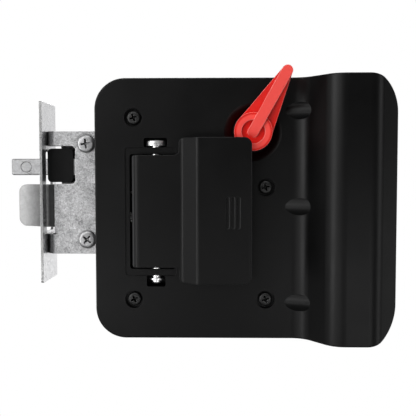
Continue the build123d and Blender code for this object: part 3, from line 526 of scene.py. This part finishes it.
FINISHES = {
    "interior_trim": trim_black,
    "mounting_screws": screw_black,
    "paddle": paddle_black,
    "paddle_arm": sheet_zinc,
    "paddle_pin": steel,
    "paddle_pin_clip": steel,
    "paddle_springs": spring_wire,
    "lock_lever": lever_red,
    "lever_clip": steel,
    "lever_spindle": bolt_zinc,
    "lock_cam": cast_grey,
    "cam_pin": steel,
    "faceplate": face_zinc,
    "case_front": sheet_zinc,
    "case_back": case_grey,
    "case_screws": screw_zinc,
    "case_spacers": steel,
    "latch_bolt": latch_grey,
    "latch_tail": bolt_zinc,
    "tail_rivets": steel,
    "latch_rod": steel,
    "latch_spring": spring_wire,
    "deadbolt": bolt_zinc,
    "deadbolt_stake": bolt_zinc,
    "deadbolt_block": block_black,
    "deadbolt_link": bolt_zinc,
    "link_rivet": steel,
    "detent_spring": spring_wire,
}
for node, finish in FINISHES.items():
    for slot in nodes[node].material_slots:
        slot.material = finish

# ================================================================ mesh helpers
SCREW_POINTS = 48        # round a screw, four times the twelve of a recess's quarter
WIRE_POINTS = 14         # round a wire


def box_mm(node):
    """A CAD node's lowest and highest corners in millimetres."""
    return [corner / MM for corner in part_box(node)]


def new_piece(name, node, points, faces, crease):
    """A mesh in millimetres that stands for a CAD node, with its finish, and rides on its body.

    Edges sharper than crease, in degrees, stay crisp.
    """
    mesh = bpy.data.meshes.new(name)
    mesh.from_pydata([Vector(p) * MM for p in points], [], faces)
    shape = bmesh.new()
    shape.from_mesh(mesh)
    bmesh.ops.recalc_face_normals(shape, faces=shape.faces)
    shape.to_mesh(mesh)
    shape.free()
    mesh.polygons.foreach_set("use_smooth", [True] * len(mesh.polygons))
    mesh.set_sharp_from_angle(angle=math.radians(crease))
    mesh.materials.append(FINISHES[node])
    piece = bpy.data.objects.new(name, mesh)
    bpy.context.scene.collection.objects.link(piece)
    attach(piece, body_of(nodes[node])[0])
    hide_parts(node)
    return piece


def skin(rings):
    """Points and faces of a closed skin over rings of as many points each, shut at both ends."""
    around = len(rings[0])
    points = [p for ring in rings for p in ring]
    last = (len(rings) - 1) * around
    faces = []
    for first in range(0, last, around):
        for i in range(around):
            j = (i + 1) % around
            faces.append((first + i, first + j, first + around + j, first + around + i))
    for start in (0, last):
        ring = points[start : start + around]
        points.append(tuple(sum(p[k] for p in ring) / around for k in range(3)))
        middle_point = len(points) - 1
        faces.extend((start + i, start + (i + 1) % around, middle_point) for i in range(around))
    return points, faces


def joined(shapes):
    """Several sets of points and faces as one."""
    points, faces = [], []
    for more_points, more_faces in shapes:
        first = len(points)
        points += more_points
        faces += [tuple(i + first for i in face) for face in more_faces]
    return points, faces


# ================================================================ screws
RINGS_PER_PITCH = 6
# a recess's rings, as shares of its outline and of its depth below the head's top
RECESS = ((0.34, 0.88), (0.80, 0.58), (0.97, 0.07), (1.0, 0.0))
# a head's rings, as shares of its radius and of its height over the seat
DOME = (
    (0.70, 0.995),
    (0.82, 0.93),
    (0.91, 0.80),
    (0.97, 0.60),
    (1.0, 0.34),
    (1.0, 0.06),
    (0.975, 0.0),
)


def cross_outline(arm, half):
    """The outline of a Phillips recess, SCREW_POINTS points from the first arm's middle on.

    arm is its reach from the middle, and half half the width of an arm at its end.
    """
    side = [
        (arm, 0.0),
        (arm, 0.62 * half),
        (arm - 0.30 * half, half),
        (arm * 0.72 + half * 0.28, half * 1.04),
        (arm * 0.42 + half * 0.58, half * 1.10),
        (half * 1.85, half * 1.18),
    ]
    corner = (half * 1.42, half * 1.42)
    quarter = [*side, corner, *((b, a) for a, b in reversed(side[1:]))]
    outline = []
    for angle in (0.0, math.pi / 2, math.pi, 3 * math.pi / 2):
        outline += [
            (a * math.cos(angle) - b * math.sin(angle), a * math.sin(angle) + b * math.cos(angle))
            for a, b in quarter
        ]
    return outline


def thread_radii(mean, depth, phase, fade):
    """The radii round a ring of thread at phase turns; fade falls to 0 at the screw's tip."""
    radii = []
    for i in range(SCREW_POINTS):
        turned = (phase + i / SCREW_POINTS) % 1.0
        wave = abs(turned * 2 - 1) * 2 - 1
        radii.append(mean - 0.25 * (1 - fade) + wave * depth * (0.4 + 0.6 * fade))
    return radii


def phillips_screw(place, seat, head, shank, turn, arm_half, thread=None):
    """Points and faces of a pan head Phillips screw that points along +Y.

    place is its x and z, seat the y under its head, and turn the cross's turn in degrees.
    head is (radius, height), shank (radius, end), thread (mean radius, end, pitch, depth), and
    arm_half half the width of the cross's arms as a share of the head's radius.
    """
    x, z = place
    head_r, head_h = head
    shank_r, shank_end = shank
    turned = math.radians(turn)
    outline = cross_outline(0.56 * head_r, arm_half * head_r)

    def ring(radii, y):
        points = []
        for i, radius in enumerate(radii):
            angle = turned + math.tau * i / SCREW_POINTS
            points.append((x + radius * math.cos(angle), y, z + radius * math.sin(angle)))
        return points

    def circle(radius, y):
        return ring([radius] * SCREW_POINTS, y)

    def cross(scale, depth):
        return [
            (
                x + scale * (a * math.cos(turned) - b * math.sin(turned)),
                seat - (1 - depth) * head_h,
                z + scale * (a * math.sin(turned) + b * math.cos(turned)),
            )
            for a, b in outline
        ]

    # the recess from its floor up, the dome from the recess out, then the shank
    rings = [cross(scale, depth) for scale, depth in RECESS]
    rings += [circle(share * head_r, seat - height * head_h) for share, height in DOME]
    rings += [circle(shank_r, seat), circle(shank_r, shank_end - 0.15)]
    if thread:
        mean, end, pitch, depth = thread
        steps = int((end - shank_end) / pitch * RINGS_PER_PITCH)
        for step in range(steps + 1):
            y = shank_end + (end - shank_end) * step / steps
            fade = min(1.0, (end - y) / 0.8)
            rings.append(ring(thread_radii(mean, depth, y / pitch, fade), y))
    else:
        rings.append(circle(shank_r - 0.15, shank_end))
    return skin(rings)


# machine screws: a fine thread on the end behind the case, plain before it
mount_low, mount_high = box_mm("mounting_screws")
mount_head_r, mount_head_h = 3.2, 2.1
mount_shank_r, mount_shank_end = 1.95, 28.4
mount_thread = (1.75, mount_high.y, 0.7, 0.2)
mount_left, mount_right = mount_low.x + mount_head_r, mount_high.x - mount_head_r
mount_bottom, mount_top = mount_low.z + mount_head_r, mount_high.z - mount_head_r
mount_middle = 10.0      # the right upper screw, below the lever
mount_screws = [
    phillips_screw(
        place,
        mount_low.y + mount_head_h,
        (mount_head_r, mount_head_h),
        (mount_shank_r, mount_shank_end),
        turn,
        arm_half=0.13,
        thread=mount_thread,
    )
    for place, turn in (
        ((mount_left, mount_top), 21),
        ((mount_left, mount_bottom), 24),
        ((mount_right, mount_middle), 17),
        ((mount_right, mount_bottom), 20),
    )
]
new_piece("machine_screws", "mounting_screws", *joined(mount_screws), crease=40)

# screws of the case, short and with a wide low head
case_low, case_high = box_mm("case_screws")
case_head_r, case_head_h = 4.3, 1.7
case_screws = [
    phillips_screw(
        place,
        case_low.y + case_head_h,
        (case_head_r, case_head_h),
        (1.5, case_high.y),
        turn,
        arm_half=0.10,
    )
    for place, turn in (
        ((case_low.x + case_head_r, case_high.z - case_head_r), 8),
        ((case_high.x - case_head_r, case_low.z + case_head_r), 52),
    )
]
new_piece("case_pan_screws", "case_screws", *joined(case_screws), crease=40)


# ================================================================ springs
def wire(path, radius):
    """Points and faces of a round wire along a path."""
    path = [Vector(p) for p in path]
    rings = []
    normal = (path[1] - path[0]).normalized().orthogonal().normalized()
    for i, point in enumerate(path):
        run = (path[min(i + 1, len(path) - 1)] - path[max(i - 1, 0)]).normalized()
        normal = (normal - run * normal.dot(run)).normalized()
        side = run.cross(normal)
        ring = []
        for k in range(WIRE_POINTS):
            angle = math.tau * k / WIRE_POINTS
            ring.append(tuple(point + radius * (normal * math.cos(angle) + side * math.sin(angle))))
        rings.append(ring)
    return skin(rings)


# torsion springs on the paddle's pin, with a leg each and a hook on the lower one
pin_low, pin_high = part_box("paddle_pin")
pin_middle = (pin_low + pin_high) / 2 / MM
torsion_low, torsion_high = box_mm("paddle_springs")
torsion_wire_r = 0.54
torsion_r = 3.35
torsion_h = 4.05
torsion_turns = 3
torsion_steps = 40       # points on a turn
leg_slope = math.radians(11)
leg_end_x = torsion_low.x + torsion_wire_r
hook_h = 4.8
hook_bend = 0.9


def torsion_spring(first_z, last_z, hooked):
    """The wire of one spring: its turns from first_z to last_z, its leg, and its hook if hooked."""
    start = math.pi / 2 - leg_slope
    steps = torsion_turns * torsion_steps
    path = []
    for step in range(steps + 1):
        angle = start + math.tau * step / torsion_steps
        path.append(
            (
                pin_middle.x + torsion_r * math.cos(angle),
                pin_middle.y + torsion_r * math.sin(angle),
                first_z + (last_z - first_z) * step / steps,
            )
        )
    leave = Vector(path[-1])
    run = Vector((-math.cos(leg_slope), math.sin(leg_slope), 0))
    bend = hook_bend if hooked else 0.0
    straight = (leave.x - leg_end_x) / math.cos(leg_slope) - bend
    path += [leave + run * straight * share for share in (0.12, 0.3, 0.5, 0.7, 0.9, 1.0)]
    if hooked:
        upright = Vector((0, 0, 1))
        corner = path[-1] + upright * bend
        for step in range(1, 9):
            angle = math.pi / 2 * step / 8
            path.append(corner + bend * (run * math.sin(angle) - upright * math.cos(angle)))
        path.append(path[-1] + upright * (hook_h - bend - torsion_wire_r))
    return wire(path, torsion_wire_r)


# the upper coil winds up to its leg, the lower one down to it
upper_leg_z = torsion_high.z - torsion_wire_r
lower_leg_z = torsion_low.z + torsion_wire_r
torsion_springs = [
    torsion_spring(upper_leg_z - torsion_h, upper_leg_z, hooked=False),
    torsion_spring(lower_leg_z + torsion_h, lower_leg_z, hooked=True),
]
new_piece("torsion_springs", "paddle_springs", *joined(torsion_springs), crease=60)

# the latch's compression spring, its end turns closed
push_low, push_high = box_mm("latch_spring")
push_middle = (push_low + push_high) / 2
push_wire_r = 0.45
push_r = (push_high.y - push_low.y) / 2 - push_wire_r
push_x0, push_x1 = push_low.x + push_wire_r, push_high.x - push_wire_r
push_steps = 36          # points on a turn
end_turns = 0.9          # closed at each end
open_turns = 5.7
end_pitch = 2.1 * push_wire_r
open_pitch = (push_x1 - push_x0 - 2 * end_turns * end_pitch) / open_turns
push_path = []
for step in range(int((open_turns + 2 * end_turns) * push_steps + 0.5) + 1):
    turns = step / push_steps
    opened = min(max(turns - end_turns, 0.0), open_turns)
    angle = math.tau * turns
    push_path.append(
        (
            push_x0 + end_pitch * (turns - opened) + open_pitch * opened,
            push_middle.y + push_r * math.cos(angle),
            push_middle.z + push_r * math.sin(angle),
        )
    )
push_spring = new_piece("push_spring", "latch_spring", *wire(push_path, push_wire_r), crease=60)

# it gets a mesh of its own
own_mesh(push_spring)

# ================================================================ floor
floor_drop = 0.30
floor_half = 30.0
floor_glow = 0.19        # what the floor gives back to the object; it is white to the camera
paper_glow = 1.0         # the bright paper straight behind the object
low, high = cad_box
floor_z = low.z - floor_drop
corners = ((-1, -1), (1, -1), (1, 1), (-1, 1))
floor_mesh = bpy.data.meshes.new("floor")
floor_mesh.from_pydata(
    [(x * floor_half, y * floor_half, floor_z) for x, y in corners], [], [(0, 1, 2, 3)]
)
floor = bpy.data.objects.new("floor", floor_mesh)
bpy.context.scene.collection.objects.link(floor)

floor_material, tree, shader = new_material("floor_white")
shader.inputs["Base Color"].default_value = (*BLACK, 1)
shader.inputs["Specular IOR Level"].default_value = 0.0
shader.inputs["Roughness"].default_value = 1.0
shader.inputs["Emission Color"].default_value = (1, 1, 1, 1)
# straight behind the object the floor is as bright as the paper there
floor_seen = tree.nodes.new("ShaderNodeLightPath")
floor_place = tree.nodes.new("ShaderNodeTexCoord")
floor_x, floor_y, _ = parts(tree, floor_place.outputs["Object"])
aside = math_node(
    tree,
    "DIVIDE",
    math_node(tree, "ABSOLUTE", floor_x),
    math_node(tree, "MAXIMUM", floor_y, 0.01),
)
paper_part = math_node(
    tree,
    "MULTIPLY",
    remap(tree, aside, 0.4, 0.9, 1.0, 0.0),
    remap(tree, floor_y, 0.5, 1.1, 0.0, paper_glow - floor_glow),
)
glow = math_node(tree, "ADD", paper_part, floor_glow)
link(
    tree,
    math_node(tree, "MAXIMUM", glow, floor_seen.outputs["Is Camera Ray"]),
    shader.inputs["Emission Strength"],
)
floor_mesh.materials.append(floor_material)

# ================================================================ light
# soft boxes that look at the object's middle: place, width and height in metres, and watts
SOFTBOXES = (
    ("key_left", (-0.60, -0.45, 0.10), (0.25, 0.8), 2.9),
    ("side_left", (-0.78, -0.10, 0.10), (0.20, 0.8), 0.5),
    ("high_left", (-0.35, -0.60, 0.25), (0.3, 0.3), 0.80),
    ("low_left", (-0.28, -0.60, -0.16), (0.3, 0.12), 0.33),
    ("low_strip", (0.05, -0.65, -0.135), (0.5, 0.05), 0.10),
    ("low_right", (0.26, -0.62, -0.18), (0.3, 0.14), 0.42),
    ("side_right", (0.74, -0.16, 0.05), (0.3, 0.8), 1.1),
    ("top_front", (-0.05, -0.38, 0.62), (0.6, 0.3), 2.0),
    ("back_high", (0.0, 0.9, 0.5), (0.6, 0.4), 3.5),
)
middle = (low + high) / 2
for name, place, size, power in SOFTBOXES:
    light = bpy.data.lights.new(name, "AREA")
    light.shape = "RECTANGLE"
    light.size, light.size_y = size
    light.energy = power
    lamp = bpy.data.objects.new(name, light)
    lamp.visible_camera = False
    lamp.location = place
    lamp.rotation_mode = "QUATERNION"
    lamp.rotation_quaternion = (middle - Vector(place)).to_track_quat("-Z", "Y")
    bpy.context.scene.collection.objects.link(lamp)

# the room: white to the camera, dim round the object, and bright paper straight behind it
room_front = 0.116
room_back = 0.085
world = bpy.data.worlds.new("studio")
bpy.context.scene.world = world
world.use_nodes = True
sky = world.node_tree
sky.nodes.clear()
sky_out = sky.nodes.new("ShaderNodeOutputWorld")
sky_seen = sky.nodes.new("ShaderNodeBackground")
sky_lit = sky.nodes.new("ShaderNodeBackground")
sky_mix = sky.nodes.new("ShaderNodeMixShader")
sky_path = sky.nodes.new("ShaderNodeLightPath")
sky_place = sky.nodes.new("ShaderNodeTexCoord")
behind = parts(sky, sky_place.outputs["Generated"])[1]
room = remap(sky, behind, 0.0, 0.5, room_front, room_back)
paper = remap(sky, behind, 0.72, 0.93, room_back, paper_glow)
link(sky, math_node(sky, "MAXIMUM", room, paper), sky_lit.inputs["Strength"])
sky_seen.inputs["Strength"].default_value = 1.0
sky_seen.inputs["Color"].default_value = (1, 1, 1, 1)
link(sky, sky_path.outputs["Is Camera Ray"], sky_mix.inputs["Fac"])
link(sky, sky_lit.outputs["Background"], sky_mix.inputs[1])
link(sky, sky_seen.outputs["Background"], sky_mix.inputs[2])
link(sky, sky_mix.outputs["Shader"], sky_out.inputs["Surface"])

bpy.context.scene.view_settings.view_transform = "Standard"

# ================================================================ camera
# it stands square in front of the trim, a little above its middle
camera_place = (-0.010617, -0.321207, 0.018734)
yaw = math.radians(-1.149)
pitch = math.radians(-3.267)
roll = math.radians(-0.058)
ahead = Vector(
    (math.sin(yaw) * math.cos(pitch), math.cos(yaw) * math.cos(pitch), math.sin(pitch))
)
right = Vector((math.cos(yaw), -math.sin(yaw), 0))
up = right.cross(ahead)
right_rolled = right * math.cos(roll) + up * math.sin(roll)
up_rolled = up * math.cos(roll) - right * math.sin(roll)
turn = Matrix((right_rolled, up_rolled, -ahead)).transposed()

camera_data = bpy.data.cameras.new("camera")
camera_data.sensor_width = 36.0
camera_data.lens = 60.58
camera_data.clip_start = 0.01
camera_data.clip_end = 100.0
camera = bpy.data.objects.new("camera", camera_data)
bpy.context.scene.collection.objects.link(camera)
camera.matrix_world = Matrix.Translation(camera_place) @ turn.to_4x4()
bpy.context.scene.camera = camera
